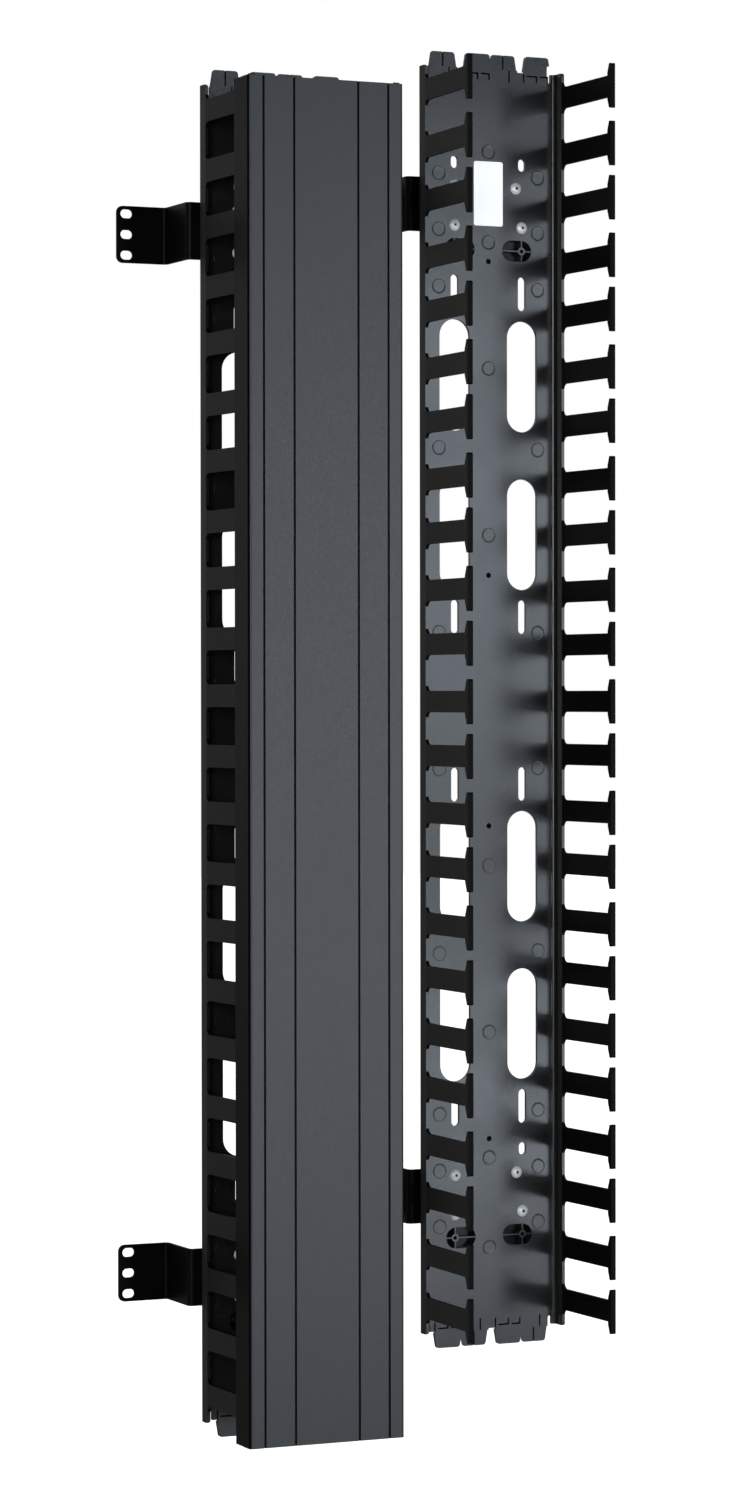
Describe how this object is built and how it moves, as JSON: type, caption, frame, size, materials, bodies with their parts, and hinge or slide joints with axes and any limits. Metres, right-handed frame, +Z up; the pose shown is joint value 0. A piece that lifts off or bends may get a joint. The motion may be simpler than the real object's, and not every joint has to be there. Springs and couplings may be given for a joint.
{
  "type": "vertical cable manager",
  "caption": "Vertical duct that routes cables beside a rack, with T-shaped side fingers, cable windows in its back, Z-shaped rack brackets and a clip-on cover; shown covered and open.",
  "frame": {"origin": "centre of the covered section's rear face, on its centre line and halfway up", "axes": "+Z up along the channel, +Y towards the rack, -Y out of the cover's front, +X to the right seen from the front"},
  "size_m": [0.4044, 0.241, 1.088],
  "materials": {
    "channel_plastic": "satin moulded plastic",
    "cover_plastic": "satin extruded plastic, faint lengthwise lines",
    "bracket_steel": "black powder coat",
    "rivet_aluminium": "bright",
    "mandrel_steel": "broken steel"
  },
  "bodies": {
    "sections": {"left_back_channel": "channel_plastic", "left_rack_side_fingers": "channel_plastic", "left_far_side_fingers": "channel_plastic", "left_upper_bracket": "bracket_steel", "left_upper_rivets": "rivet_aluminium", "left_upper_mandrels": "mandrel_steel", "left_lower_bracket": "bracket_steel", "left_lower_rivets": "rivet_aluminium", "left_lower_mandrels": "mandrel_steel", "right_back_channel": "channel_plastic", "right_rack_side_fingers": "channel_plastic", "right_far_side_fingers": "channel_plastic", "right_upper_bracket": "bracket_steel", "right_upper_rivets": "rivet_aluminium", "right_upper_mandrels": "mandrel_steel", "right_lower_bracket": "bracket_steel", "right_lower_rivets": "rivet_aluminium", "right_lower_mandrels": "mandrel_steel"},
    "cover": {"left_cover": "cover_plastic"}
  },
  "joints": [
    {"name": "cover_pull", "type": "slide", "parent": "sections", "child": "cover", "axis": [0, -1, 0], "range_m": [0, 0.12]}
  ]
}
